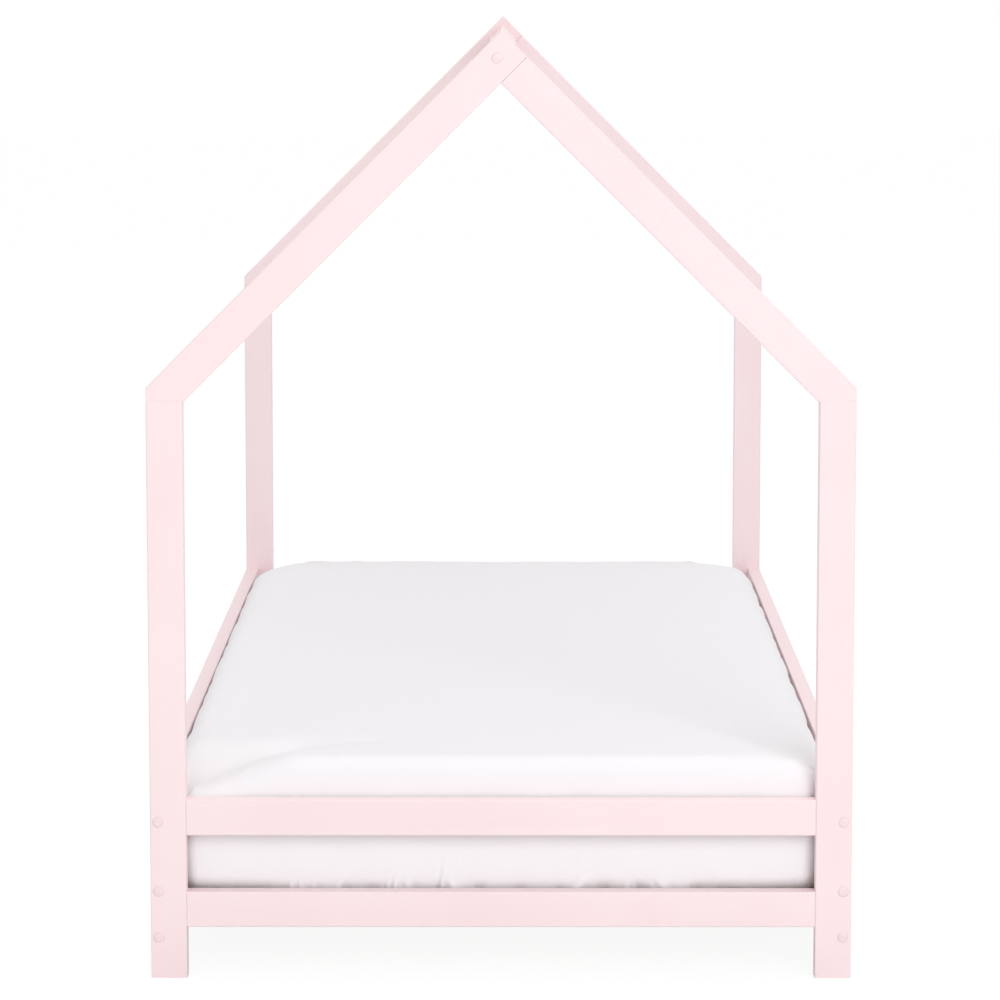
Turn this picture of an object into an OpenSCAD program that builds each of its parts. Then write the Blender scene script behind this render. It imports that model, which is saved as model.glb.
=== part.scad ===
// House-shaped child's bed: two gabled end frames joined by side rails and a ridge beam,
// with a slatted base and a mattress in a fitted sheet.
// X runs across the bed, the front end faces -Y, Z is up and the origin is on the floor
// under the middle of the bed.

/* [Mattress] */
// Width of the mattress at its base, which the frame is built round
mattress_w = 900; // [800:10:1000]
// Length of the mattress
mattress_l = 2000; // [1600:10:2100]
// Thickness of the mattress at its edges
mattress_t = 186; // [130:2:200]
// Rise of the mattress top from its edges to the middle
crown_h = 6; // [2:1:14]
// Corner radius of the mattress seen from above
corner_r = 60; // [45:5:90]
// Radius of its soft top edge
top_r = 28; // [20:1:40]
// Radius of its bottom edge
base_r = 22; // [12:1:30]
// How far its sides draw in halfway between the corners
waist = 3; // [0:0.5:6]

/* [Fitted sheet] */
// Thickness of the sheet
sheet_t = 1; // [0.8:0.1:1.4]
// Gap between the sheet and the mattress
sheet_gap = 0.3; // [0.2:0.1:0.6]
// How far the sheet's hem runs in under the mattress
hem_w = 90; // [50:5:150]

/* [Clearances] */
// Gap between the mattress's base and each side rail
side_gap = 13; // [8:1:25]
// Gap between the covered mattress and each side rail, where its sides stand out most
rail_room = 4; // [3:0.5:6]
// Gap between the mattress and each end frame
end_gap = 5; // [4:1:15]
// Gap between a slat's end and the side rail
slat_end_gap = 3; // [1:0.5:6]
// Gap between a ledger's end and the end frame
ledger_end_gap = 15; // [5:1:25]

/* [End frames] */
// Width of the posts, seen from the front
post_w = 50; // [44:1:60]
// Thickness of the posts, rafters and end rails
post_t = 25; // [23:1:34]
// Height of the posts up to the rafters
post_h = 805; // [700:5:950]
// Height of each end rail
end_rail_h = 50; // [40:1:70]
// Underside of the lower end rail above the floor
lower_end_z = 72; // [50:1:80]
// Underside of the upper end rail above the floor
upper_end_z = 201; // [180:1:230]
// Easing radius along the edges of every timber
edge_r = 2; // [1:0.25:3]
// Depth of the fine line left along each face joint
joint_line = 0.5; // [0.3:0.1:0.8]

/* [Roof] */
// Slope of the rafters
pitch = 45; // [42:1:48]
// Width of the rafters, seen from the front
rafter_w = 50; // [46:1:60]
// How far a rafter's heel reaches in past the post
heel_over = 3; // [1:0.5:6]
// Side of the square ridge beam
ridge_s = 36; // [32:1:40]
// Corner radius of the ridge beam
ridge_r = 4; // [2:0.5:6]
// Height of the ridge beam's lower faces above the rafters' undersides
ridge_inset = 2; // [1:0.5:5]

/* [Side rails] */
// Thickness of the side rails
side_rail_t = 22; // [20:1:26]
// Height of the lower side rail
lower_rail_h = 120; // [110:1:130]
// Underside of the lower side rail above the floor
lower_rail_z = 30; // [20:1:45]
// Open gap between the lower and the upper side rail
rail_gap = 20; // [10:1:40]
// Height of the upper side rail
upper_rail_h = 100; // [95:1:130]

/* [Slatted base] */
// Number of slats
slat_n = 16; // [12:1:18]
// Width of a slat
slat_w = 70; // [50:1:80]
// Thickness of a slat
slat_t = 18; // [15:1:20]
// Width of a ledger, across the bed
ledger_w = 25; // [22:1:30]
// Height of a ledger
ledger_h = 25; // [22:1:28]
// Height of a ledger's underside above the side rail's underside
ledger_lift = 37; // [36:1:42]

/* [Bolts] */
// Diameter of the connecting bolts
bolt_d = 6; // [5:0.5:7]
// Diameter of a bolt's head
bolt_head_d = 10; // [9:0.5:11]
// Height of a bolt's head
bolt_head_h = 5; // [4:0.5:6]
// Size of the hexagon socket across its flats
socket_af = 4; // [3:0.5:5]
// Depth of the seat under a bolt's head
head_depth = 9; // [8:0.5:11]
// Length of a bolt past the middle of its barrel nut
bolt_past = 10; // [8:1:14]
// Distance between the two bolts of a lower side rail
bolt_gap = 65; // [60:1:75]
// Diameter of a barrel nut
nut_d = 10; // [9:0.5:11]
// Length of a barrel nut
nut_l = 14; // [12:0.5:15]
// Distance of a barrel nut from the end of its rail
nut_inset = 34; // [28:1:45]
// Distance of the ridge bolt and the ridge dowel from the ridge beam's centre
ridge_bolt_shift = 7.5; // [7.5:0.1:8.5]
// Clearance round a bolt's shank and head
bolt_clear = 0.5; // [0.3:0.1:0.8]
// Clearance round a barrel nut and inside its thread
nut_clear = 0.1; // [0.05:0.05:0.2]

/* [Caps] */
// Diameter of a cover cap
cap_d = 14.5; // [13.5:0.5:18]
// Height of a cap's dome above the wood
cap_h = 2.2; // [1.5:0.1:3]
// Height of a cap's rim above the wood
cap_rim = 0.9; // [0.5:0.1:1.2]
// Length of the stem that plugs the bolt hole
cap_stem = 3; // [2:0.25:3.5]
// Clearance round the stem
cap_clear = 0.1; // [0.05:0.05:0.2]

/* [Dowels] */
// Diameter of the wooden dowels
dowel_d = 8; // [6:0.5:8]
// Length of the end rail dowels
rail_dowel_l = 50; // [40:1:56]
// Length of the dowels at the rafters' heels and apex
roof_dowel_l = 40; // [30:1:42]
// Length of the dowels between end frames and side rails
side_dowel_l = 30; // [24:1:36]
// Part of a side rail dowel that sits in the post
side_dowel_in = 12; // [8:1:14]
// Distance between the two dowels of an end rail
rail_dowel_gap = 26; // [18:1:28]
// Distance between the two dowels at a rafter's heel
heel_dowel_gap = 20; // [16:1:24]
// Shift of the heel dowels towards the inside of the bed
heel_dowel_shift = 4; // [2:0.5:5]
// Distance between the two dowels at the apex
apex_dowel_gap = 26; // [24:1:28]
// Shift of the apex dowels towards the underside
apex_dowel_shift = 3; // [2:0.5:4]
// Distance between the two dowels of an upper side rail
side_dowel_gap = 64; // [50:1:76]
// Clearance round a dowel
dowel_clear = 0.05; // [0.02:0.01:0.1]
// Room at each end of a dowel in its hole
dowel_room = 1; // [0.5:0.25:1.5]

/* [Screws] */
// Diameter of the wood screws
screw_d = 4; // [3:0.5:5]
// Diameter of a screw's countersunk head
screw_head_d = 8; // [7:0.5:9]
// Height of a screw's head
screw_head_h = 2.6; // [2:0.2:3.2]
// Length of a ledger screw
ledger_screw_l = 38; // [32:1:40]
// Length of a slat screw
slat_screw_l = 32; // [26:1:36]
// Depth of a screw's head below the wood
screw_sink = 0.5; // [0.3:0.1:1]
// Clearance round a screw
screw_clear = 0.05; // [0.02:0.01:0.1]

/* [Hidden] */
pink = "#FBE7E9";
pine = "#E3C69A";
beech = "#D9B98C";
steel = "#B9BBBE";
ticking = "#EFEDE8";
cotton = "#F5F4F6";
$fn = 32;

// Overall sizes
inner_w = mattress_w + 2 * side_gap;
inner_l = mattress_l + 2 * end_gap;
overall_w = inner_w + 2 * side_rail_t;
overall_l = inner_l + 2 * post_t;
half_w = overall_w / 2;
half_l = overall_l / 2;
post_in_x = half_w - post_w;
// Middle of the front end frame's thickness
end_y = -half_l + post_t / 2;

// Roof outline in the plane of an end frame
heel_x = post_in_x - heel_over;
heel_cut = rafter_w / cos(pitch) - tan(pitch) * (post_w + heel_over);
eave_z = post_h + heel_cut;
apex_z = eave_z + tan(pitch) * half_w;
inner_apex_z = apex_z - rafter_w / cos(pitch);
butt_x = rafter_w / (2 * sin(pitch));
butt_z = apex_z - tan(pitch) * butt_x;
butt_l = rafter_w / sin(2 * pitch);
ridge_z = inner_apex_z + (ridge_s / 2 + ridge_inset) / cos(pitch);
ridge_bolt = [-sin(pitch) * ridge_bolt_shift, ridge_z + cos(pitch) * ridge_bolt_shift];
ridge_dowel = [sin(pitch) * ridge_bolt_shift, ridge_z - cos(pitch) * ridge_bolt_shift];

// Heights of the side rails and their bolts
upper_rail_z = lower_rail_z + lower_rail_h + rail_gap;
lower_rail_mid = lower_rail_z + lower_rail_h / 2;
upper_rail_mid = upper_rail_z + upper_rail_h / 2;
side_mid_x = half_w - side_rail_t / 2;
rail_bolt_z = [lower_rail_mid - bolt_gap / 2, lower_rail_mid + bolt_gap / 2, upper_rail_mid];
bolt_l = post_t - head_depth + nut_inset + bolt_past;
// Bolts of an end frame: three in each post and one at the ridge, as [x, z]
side_bolts = [for (s = [-1, 1]) for (z = rail_bolt_z) [s * side_mid_x, z]];
frame_bolts = concat(side_bolts, [ridge_bolt]);

// Slatted base
ledger_z = lower_rail_z + ledger_lift;
ledger_l = inner_l - 2 * ledger_end_gap;
ledger_x = inner_w / 2 - ledger_w / 2;
slat_z = ledger_z + ledger_h;
slat_l = inner_w - 2 * slat_end_gap;
slat_pitch = inner_l / slat_n;
base_top = slat_z + slat_t;

// Mattress: the sheet's hem draws its base in, so its sides lean out towards the top
mattress_z = base_top + sheet_gap + sheet_t;
lean = side_gap - rail_room - sheet_gap - sheet_t;
corner_n = 4;
side_n = 4;
edge_n = 5;
wall_n = 3;
dome = [0.75, 0.4];
// Amount by which a cut runs past a face
past = 1;

SLATS = [for (i = [1:slat_n]) str("slat_", i < 10 ? "0" : "", i)];

// Section of a timber with eased corners, centred
module rounded_rect(w, d, r) {
    square([w - 2 * r, d], center = true);
    square([w, d - 2 * r], center = true);
    for (x = [-1, 1]) {
        for (y = [-1, 1]) {
            translate([x * (w / 2 - r), y * (d / 2 - r)]) circle(r);
        }
    }
}

// Timbers with eased long edges, along each axis, centred on the other two
module timber_z(w, d, l) {
    linear_extrude(l) rounded_rect(w, d, edge_r);
}

module timber_x(d, h, l) {
    translate([-l / 2, 0, 0]) rotate([0, 90, 0]) timber_z(h, d, l);
}

module timber_y(w, h, l) {
    translate([0, -l / 2, 0]) rotate([-90, 0, 0]) timber_z(w, h, l);
}

// Turns a drawing in X and Z into a plate of the end frame's thickness
module end_plate() {
    translate([0, -half_l + post_t, 0]) rotate([90, 0, 0]) linear_extrude(post_t) children();
}

// Puts children at the front end, and again mirrored at the rear
module both_ends() {
    children();
    mirror([0, 1, 0]) children();
}

// Mirrors children to the rear end when at_rear is true
module at_end(at_rear) {
    mirror([0, at_rear ? 1 : 0, 0]) children();
}

// Fine V line along a joint from p to q, on both faces of the front end frame
module face_line(p, q) {
    run = norm(q - p);
    turn = atan2(q[1] - p[1], q[0] - p[0]);
    for (y = [-half_l, -half_l + post_t]) {
        translate([p[0], y, p[1]]) rotate([0, -turn, 0]) translate([run / 2, 0, 0])
            rotate([45, 0, 0])
                cube([run + 2 * past, joint_line * sqrt(2), joint_line * sqrt(2)], center = true);
    }
}

module heel_line(s) {
    face_line([s * half_w, post_h], [s * heel_x, post_h]);
}

module rail_line(s, z) {
    face_line([s * post_in_x, z], [s * post_in_x, z + end_rail_h]);
}

module butt_line() {
    face_line([0, inner_apex_z], [butt_x, butt_z]);
}

// Bolt along +Z, entering at z = 0
module bolt() {
    difference() {
        union() {
            translate([0, 0, head_depth - bolt_head_h]) cylinder(d = bolt_head_d, h = bolt_head_h);
            translate([0, 0, head_depth]) cylinder(d = bolt_d, h = bolt_l);
        }
        translate([0, 0, head_depth - bolt_head_h - past])
            cylinder(d = socket_af / cos(30), h = bolt_head_h * 0.6 + past, $fn = 6);
    }
}

module bolt_hole() {
    translate([0, 0, -past]) cylinder(d = bolt_head_d + 2 * bolt_clear, h = head_depth + past);
    cylinder(d = bolt_d + 2 * bolt_clear, h = head_depth + bolt_l + past);
}

// Domed cap over a bolt hole, with its rim on the face at z = 0
module cap() {
    dome_r = (pow(cap_d / 2, 2) + pow(cap_h - cap_rim, 2)) / (2 * (cap_h - cap_rim));
    intersection() {
        translate([0, 0, -cap_h]) cylinder(d = cap_d, h = cap_h);
        translate([0, 0, dome_r - cap_h]) sphere(dome_r, $fn = 64);
    }
    cylinder(d = bolt_head_d + 2 * bolt_clear - 2 * cap_clear, h = cap_stem);
}

// Barrel nut along Z, centred, with its thread across it along Y
module barrel_nut() {
    difference() {
        cylinder(d = nut_d, h = nut_l, center = true);
        rotate([90, 0, 0])
            cylinder(d = bolt_d + 2 * nut_clear, h = nut_d + 2 * past, center = true);
    }
}

// Hole for a barrel nut along Z, open towards -Z at the face reach away
module nut_hole(reach) {
    translate([0, 0, -reach - past])
        cylinder(d = nut_d + 2 * nut_clear, h = reach + past + nut_l / 2 + nut_clear);
}

module dowel(l) {
    cylinder(d = dowel_d, h = l, center = true);
}

module dowel_hole(l) {
    cylinder(d = dowel_d + 2 * dowel_clear, h = l + 2 * dowel_room, center = true);
}

// Countersunk screw along -Z from the face at z = 0
module screw(l) {
    translate([0, 0, -screw_sink]) mirror([0, 0, 1]) {
        cylinder(d1 = screw_head_d, d2 = screw_d, h = screw_head_h);
        cylinder(d = screw_d, h = l);
    }
}

module screw_hole(l) {
    room = 2 * screw_clear;
    translate([0, 0, -screw_sink]) mirror([0, 0, 1]) {
        cylinder(d1 = screw_head_d + room, d2 = screw_d + room, h = screw_head_h);
        cylinder(d = screw_d + room, h = l + screw_clear);
    }
    translate([0, 0, -screw_sink]) cylinder(d = screw_head_d + room, h = screw_sink + past);
}

// Places of the fasteners of the front end frame and of one side
module bolt_places(list) {
    for (p = list) translate([p[0], -half_l, p[1]]) rotate([-90, 0, 0]) children();
}

module post_bolt_places() {
    bolt_places([for (z = rail_bolt_z) [-side_mid_x, z]]) children();
}

module left_nut_places(heights) {
    for (z = heights) {
        translate([-side_mid_x, -inner_l / 2 + nut_inset, z]) rotate([0, -90, 0]) children();
    }
}

module ridge_nut_place() {
    translate([ridge_bolt[0], -inner_l / 2 + nut_inset, ridge_bolt[1]])
        rotate([0, 90 - pitch, 0]) children();
}

module rail_dowel_places(s, z) {
    for (k = [-1, 1]) {
        translate([s * post_in_x, end_y, z + end_rail_h / 2 + k * rail_dowel_gap / 2])
            rotate([0, 90, 0]) children();
    }
}

module heel_dowel_places(s) {
    for (k = [-1, 1]) {
        x = half_w - post_w / 2 - heel_dowel_shift + k * heel_dowel_gap / 2;
        translate([s * x, end_y, post_h]) children();
    }
}

module apex_dowel_places() {
    for (k = [-1, 1]) {
        run = butt_l / 2 - apex_dowel_shift + k * apex_dowel_gap / 2;
        translate([run * cos(pitch), end_y, inner_apex_z + run * sin(pitch)])
            rotate([0, 180 - pitch, 0]) children();
    }
}

// Places of the dowels that stand across the inner face of the front end frame
module cross_dowel_places(list) {
    y = -inner_l / 2 - side_dowel_in + side_dowel_l / 2;
    for (p = list) translate([p[0], y, p[1]]) rotate([90, 0, 0]) children();
}

module side_dowel_places(s) {
    cross_dowel_places([for (k = [-1, 1]) [s * side_mid_x, upper_rail_mid + k * side_dowel_gap / 2]])
        children();
}

module ledger_screw_places() {
    for (k = [1:2:slat_n - 1]) {
        translate([-inner_w / 2 + ledger_w, -inner_l / 2 + k * slat_pitch, ledger_z + ledger_h / 2])
            rotate([0, 90, 0]) children();
    }
}

module slat_screw_places(i) {
    for (s = [-1, 1]) {
        translate([s * ledger_x, -inner_l / 2 + (i - 0.5) * slat_pitch, base_top]) children();
    }
}

// Left post of the front end frame; the other three are its mirror images
module post() {
    color(pink) difference() {
        translate([-half_w + post_w / 2, end_y, 0]) timber_z(post_w, post_t, post_h);
        post_bolt_places() bolt_hole();
        for (z = [lower_end_z, upper_end_z]) {
            rail_dowel_places(-1, z) dowel_hole(rail_dowel_l);
            rail_line(-1, z);
        }
        heel_dowel_places(-1) dowel_hole(roof_dowel_l);
        side_dowel_places(-1) dowel_hole(side_dowel_l);
        heel_line(-1);
    }
}

// Straight bar under the left slope of the roof, longer than the rafter at both ends
module rafter_bar() {
    bar_l = half_w / cos(pitch) + 4 * rafter_w;
    translate([-half_w, end_y, eave_z]) rotate([0, 90 - pitch, 0])
        translate([rafter_w / 2, 0, -2 * rafter_w]) timber_z(rafter_w, post_t, bar_l);
}

// The left rafter runs through to the apex
module left_rafter() {
    color(pink) difference() {
        intersection() {
            rafter_bar();
            end_plate() polygon([
                [-half_w, post_h],
                [-heel_x, post_h],
                [butt_x, butt_z],
                [0, apex_z],
                [-half_w, eave_z]
            ]);
        }
        heel_dowel_places(-1) dowel_hole(roof_dowel_l);
        apex_dowel_places() dowel_hole(roof_dowel_l);
        bolt_places([ridge_bolt]) bolt_hole();
        cross_dowel_places([ridge_dowel]) dowel_hole(side_dowel_l);
        heel_line(-1);
        butt_line();
    }
}

// The right rafter butts against the underside of the left one
module right_rafter() {
    color(pink) difference() {
        intersection() {
            mirror([1, 0, 0]) rafter_bar();
            end_plate() polygon([
                [half_w, post_h],
                [half_w, eave_z],
                [butt_x, butt_z],
                [0, inner_apex_z],
                [heel_x, post_h]
            ]);
        }
        heel_dowel_places(1) dowel_hole(roof_dowel_l);
        apex_dowel_places() dowel_hole(roof_dowel_l);
        heel_line(1);
        butt_line();
    }
}

module end_rail(z) {
    color(pink) difference() {
        translate([0, end_y, z + end_rail_h / 2]) timber_x(post_t, end_rail_h, 2 * post_in_x);
        for (s = [-1, 1]) {
            rail_dowel_places(s, z) dowel_hole(rail_dowel_l);
            rail_line(s, z);
        }
    }
}

module ridge_beam() {
    color(pink) difference() {
        translate([0, -inner_l / 2, ridge_z]) rotate([-90, 0, 0]) rotate([0, 0, -pitch])
            linear_extrude(inner_l) rounded_rect(ridge_s, ridge_s, ridge_r);
        both_ends() {
            bolt_places([ridge_bolt]) bolt_hole();
            ridge_nut_place() nut_hole(ridge_s / 2);
            cross_dowel_places([ridge_dowel]) dowel_hole(side_dowel_l);
        }
    }
}

module left_upper_side_rail() {
    color(pink) difference() {
        translate([-side_mid_x, 0, upper_rail_mid]) timber_y(side_rail_t, upper_rail_h, inner_l);
        both_ends() {
            post_bolt_places() bolt_hole();
            left_nut_places([rail_bolt_z[2]]) nut_hole(side_rail_t / 2);
            side_dowel_places(-1) dowel_hole(side_dowel_l);
        }
    }
}

module left_lower_side_rail() {
    color(pink) difference() {
        translate([-side_mid_x, 0, lower_rail_mid]) timber_y(side_rail_t, lower_rail_h, inner_l);
        both_ends() {
            post_bolt_places() bolt_hole();
            left_nut_places([rail_bolt_z[0], rail_bolt_z[1]]) nut_hole(side_rail_t / 2);
        }
        ledger_screw_places() screw_hole(ledger_screw_l);
    }
}

module left_ledger() {
    color(pink) difference() {
        translate([-ledger_x, 0, ledger_z + ledger_h / 2]) timber_y(ledger_w, ledger_h, ledger_l);
        ledger_screw_places() screw_hole(ledger_screw_l);
        for (i = [1:slat_n]) slat_screw_places(i) screw_hole(slat_screw_l);
    }
}

module slat(i) {
    color(pine) difference() {
        translate([0, -inner_l / 2 + (i - 0.5) * slat_pitch, slat_z + slat_t / 2])
            timber_x(slat_w, slat_t, slat_l);
        slat_screw_places(i) screw_hole(slat_screw_l);
    }
}

module front_bolts() {
    color(steel) bolt_places(frame_bolts) bolt();
}

module front_bolt_caps() {
    color(pink) bolt_places(frame_bolts) cap();
}

module barrel_nuts() {
    color(steel) both_ends() {
        ridge_nut_place() barrel_nut();
        left_nut_places(rail_bolt_z) barrel_nut();
        mirror([1, 0, 0]) left_nut_places(rail_bolt_z) barrel_nut();
    }
}

module end_rail_dowels() {
    color(beech) both_ends() for (s = [-1, 1]) for (z = [lower_end_z, upper_end_z])
        rail_dowel_places(s, z) dowel(rail_dowel_l);
}

module heel_dowels() {
    color(beech) both_ends() for (s = [-1, 1]) heel_dowel_places(s) dowel(roof_dowel_l);
}

module apex_dowels() {
    color(beech) both_ends() apex_dowel_places() dowel(roof_dowel_l);
}

module side_rail_dowels() {
    color(beech) both_ends() for (s = [-1, 1]) side_dowel_places(s) dowel(side_dowel_l);
}

module ridge_dowels() {
    color(beech) both_ends() cross_dowel_places([ridge_dowel]) dowel(side_dowel_l);
}

module ledger_screws() {
    color(steel) for (s = [0, 1]) mirror([s, 0, 0]) ledger_screw_places() screw(ledger_screw_l);
}

module slat_screws() {
    color(steel) for (i = [1:slat_n]) slat_screw_places(i) screw(slat_screw_l);
}

// Outline of the mattress at one level, drawn in by inset, anticlockwise from above
function corner(c, inset) =
    let(
        sx = [1, -1, -1, 1][c],
        sy = [1, 1, -1, -1][c],
        cx = sx * (mattress_w / 2 - corner_r),
        cy = sy * (mattress_l / 2 - corner_r),
        r = corner_r - inset
    )
    [for (k = [0:corner_n]) let(a = 90 * (c + k / corner_n)) [cx + r * cos(a), cy + r * sin(a)]];

function side(c, inset) =
    let(
        p = corner(c, inset)[corner_n],
        q = corner((c + 1) % 4, inset)[0],
        inward = [[0, -1], [1, 0], [0, 1], [-1, 0]][c]
    )
    [
        for (k = [1:side_n])
            let(t = k / (side_n + 1))
            p + (q - p) * t + inward * waist * sin(180 * t)
    ];

function outline(inset) = [for (c = [0:3]) each concat(corner(c, inset), side(c, inset))];

// One ring of points: the outline shrunk towards the middle by scale, moved out by widen on
// the long sides and lifted to z
function ring(inset, z, scale = 1, widen = 0) =
    let(scale_x = scale + 2 * widen / mattress_w)
    [for (p = outline(inset)) [p[0] * scale_x, p[1] * scale, z]];

// Rings of the mattress surface moved out by o, from the bottom edge to the top
function rings(o) =
    let(z0 = mattress_z, z1 = mattress_z + mattress_t, wall_h = mattress_t - base_r - top_r)
    concat(
        [
            for (k = [0:edge_n])
                let(a = 90 * k / edge_n)
                ring(base_r - (base_r + o) * sin(a), z0 + base_r - (base_r + o) * cos(a))
        ],
        [
            for (k = [1:wall_n - 1])
                let(t = k / wall_n)
                ring(-o, z0 + base_r + wall_h * t, 1, lean * sin(90 * t))
        ],
        [
            for (k = [0:edge_n])
                let(a = 90 * k / edge_n, z = z1 - top_r + (top_r + o) * sin(a))
                ring(top_r - (top_r + o) * cos(a), z, 1, lean * cos(a))
        ],
        [for (s = dome) ring(top_r, z1 + o + crown_h * (1 - s * s), s)]
    );

// Triangles between ring j and ring j + 1 of n points each, the first point at start
function band(j, n, start) =
    [
        for (i = [0:n - 1])
            let(a = start + j * n + i, b = start + j * n + (i + 1) % n)
            each [[a, a + n, b + n], [a, b + n, b]]
    ];

function bands(count, n, start) = [for (j = [0:count - 2]) each band(j, n, start)];

function top_fan(last, n, tip) = [for (i = [0:n - 1]) [last + (i + 1) % n, last + i, tip]];

function flip(faces) = [for (f = faces) [f[2], f[1], f[0]]];

function flat(lists) = [for (l = lists) each l];

function top_point(o) = [0, 0, mattress_z + mattress_t + o + crown_h];

module mattress() {
    r = rings(0);
    n = len(r[0]);
    m = len(r);
    points = concat(flat(r), [top_point(0), [0, 0, mattress_z]]);
    bottom = [for (i = [0:n - 1]) [m * n + 1, i, (i + 1) % n]];
    color(ticking)
        polyhedron(points, concat(bands(m, n, 0), top_fan((m - 1) * n, n, m * n), bottom));
}

// Rings of one face of the sheet, from the hem to the top
function sheet_rings(o) = concat([ring(base_r + hem_w, mattress_z - o)], rings(o));

module fitted_sheet() {
    outer = sheet_rings(sheet_gap + sheet_t);
    inner = sheet_rings(sheet_gap);
    n = len(outer[0]);
    m = len(outer);
    points = concat(
        flat(outer),
        [top_point(sheet_gap + sheet_t)],
        flat(inner),
        [top_point(sheet_gap)]
    );
    start = m * n + 1;
    outside = concat(bands(m, n, 0), top_fan((m - 1) * n, n, m * n));
    inside = flip(concat(bands(m, n, start), top_fan(start + (m - 1) * n, n, start + m * n)));
    hem = [
        for (i = [0:n - 1])
            let(k = (i + 1) % n)
            each [[k, start + k, start + i], [k, start + i, i]]
    ];
    color(cotton) polyhedron(points, concat(outside, inside, hem));
}

post();  // front_left_post
mirror([1, 0, 0]) post();  // front_right_post
at_end(true) post();  // rear_left_post
at_end(true) mirror([1, 0, 0]) post();  // rear_right_post
left_rafter();  // front_left_rafter
right_rafter();  // front_right_rafter
at_end(true) left_rafter();  // rear_left_rafter
at_end(true) right_rafter();  // rear_right_rafter
ridge_beam();
end_rail(upper_end_z);  // front_upper_rail
end_rail(lower_end_z);  // front_lower_rail
at_end(true) end_rail(upper_end_z);  // rear_upper_rail
at_end(true) end_rail(lower_end_z);  // rear_lower_rail
left_upper_side_rail();
left_lower_side_rail();
mirror([1, 0, 0]) left_upper_side_rail();  // right_upper_side_rail
mirror([1, 0, 0]) left_lower_side_rail();  // right_lower_side_rail
left_ledger();
mirror([1, 0, 0]) left_ledger();  // right_ledger
for (i = [1:slat_n]) {
    slat(i);
}
front_bolts();
at_end(true) front_bolts();  // rear_bolts
barrel_nuts();
front_bolt_caps();
at_end(true) front_bolt_caps();  // rear_bolt_caps
end_rail_dowels();
heel_dowels();
apex_dowels();
side_rail_dowels();
ridge_dowels();
ledger_screws();
slat_screws();
mattress();
fitted_sheet();
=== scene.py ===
import math

import bmesh
import bpy
import numpy as np
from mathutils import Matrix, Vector
from mathutils.kdtree import KDTree


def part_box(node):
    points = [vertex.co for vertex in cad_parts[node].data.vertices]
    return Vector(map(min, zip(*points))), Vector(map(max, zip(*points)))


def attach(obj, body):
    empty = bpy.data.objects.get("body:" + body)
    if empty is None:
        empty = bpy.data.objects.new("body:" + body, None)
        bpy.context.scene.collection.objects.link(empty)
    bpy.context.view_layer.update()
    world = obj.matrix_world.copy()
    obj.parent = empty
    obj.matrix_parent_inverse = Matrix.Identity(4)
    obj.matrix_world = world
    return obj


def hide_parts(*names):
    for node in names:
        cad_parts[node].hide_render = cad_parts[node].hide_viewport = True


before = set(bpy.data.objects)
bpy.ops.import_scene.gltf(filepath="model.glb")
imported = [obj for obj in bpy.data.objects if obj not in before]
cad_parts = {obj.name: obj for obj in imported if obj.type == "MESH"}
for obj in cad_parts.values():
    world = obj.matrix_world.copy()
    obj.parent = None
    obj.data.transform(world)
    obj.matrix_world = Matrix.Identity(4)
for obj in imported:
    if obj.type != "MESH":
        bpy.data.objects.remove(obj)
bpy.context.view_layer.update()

MM = 0.001

# Parts of the names of the CAD's nodes
ENDS = ("front", "rear")
SIDES = ("left", "right")
LEVELS = ("upper", "lower")
SLATS = sorted(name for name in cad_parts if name.startswith("slat_") and name[5:].isdigit())

# Camera, looking at the foot end from a little above
CAMERA_PLACE = (0.0098, -6.3886, 1.3774)
CAMERA_DOWN = 6.805
CAMERA_LEFT = 0.119
CAMERA_LENS = 142.25
CAMERA_SHIFT = -0.05

# Light: the strength of the plain room, and each soft lamp's place, aim, width and power
ROOM_LIGHT = 0.635
LAMPS = {
    "key_lamp": ((1.9, -5.4, 2.6), (0.0, -0.8, 0.6), 2.8, 99),
    "fill_lamp": ((-2.0, -4.6, 0.5), (0.0, -0.9, 0.2), 2.4, 18),
    "top_lamp": ((0.2, 0.6, 4.6), (0.0, 0.1, 0.3), 3.2, 52),
}

# Floor: its side, its drop under the feet, its own tone, and the tone and the glow that the camera sees
FLOOR_SIZE = 60
FLOOR_DROP = 0.2 * MM
FLOOR_WHITE = (0.8, 0.8, 0.8, 1)
FLOOR_SHADED = (0.12, 0.12, 0.12, 1)
FLOOR_GLOW = 0.92

# Colours as they are painted, dyed or left bare; the caps' two pinks also hold painted shade
PINK = (0.94, 0.765, 0.78, 1)
PINK_PALE = (0.955, 0.793, 0.808, 1)
PINK_DEEP = (0.912, 0.722, 0.74, 1)
# The caps' pinks sit deeper than the paint's, as painted shade of their domed faces
CAP_PINK_SHADED = (0.905, 0.735, 0.75, 1)
CAP_PINK_DEEP_SHADED = (0.88, 0.70, 0.72, 1)
COTTON = (0.899, 0.885, 0.905, 1)
COTTON_THREAD = (0.875, 0.86, 0.882, 1)
TICKING = (0.80, 0.785, 0.75, 1)
TICKING_STRIPE = (0.42, 0.46, 0.52, 1)
PINE_EARLY = (0.84, 0.68, 0.47, 1)
PINE_LATE = (0.70, 0.50, 0.30, 1)
PINE_KNOT = (0.22, 0.11, 0.05, 1)
BEECH = (0.70, 0.51, 0.34, 1)
BEECH_FLECK = (0.52, 0.34, 0.20, 1)
ZINC = (0.66, 0.67, 0.68, 1)
ZINC_DULL = (0.50, 0.51, 0.53, 1)
BRASSED = (0.72, 0.60, 0.34, 1)
BRASSED_DULL = (0.52, 0.42, 0.22, 1)

# How fine the painted grain is lengthwise, as a share of across, and the pitch of the ticking's stripes
GRAIN_STRETCH = 0.035
STRIPE_PITCH = 30 * MM

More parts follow.
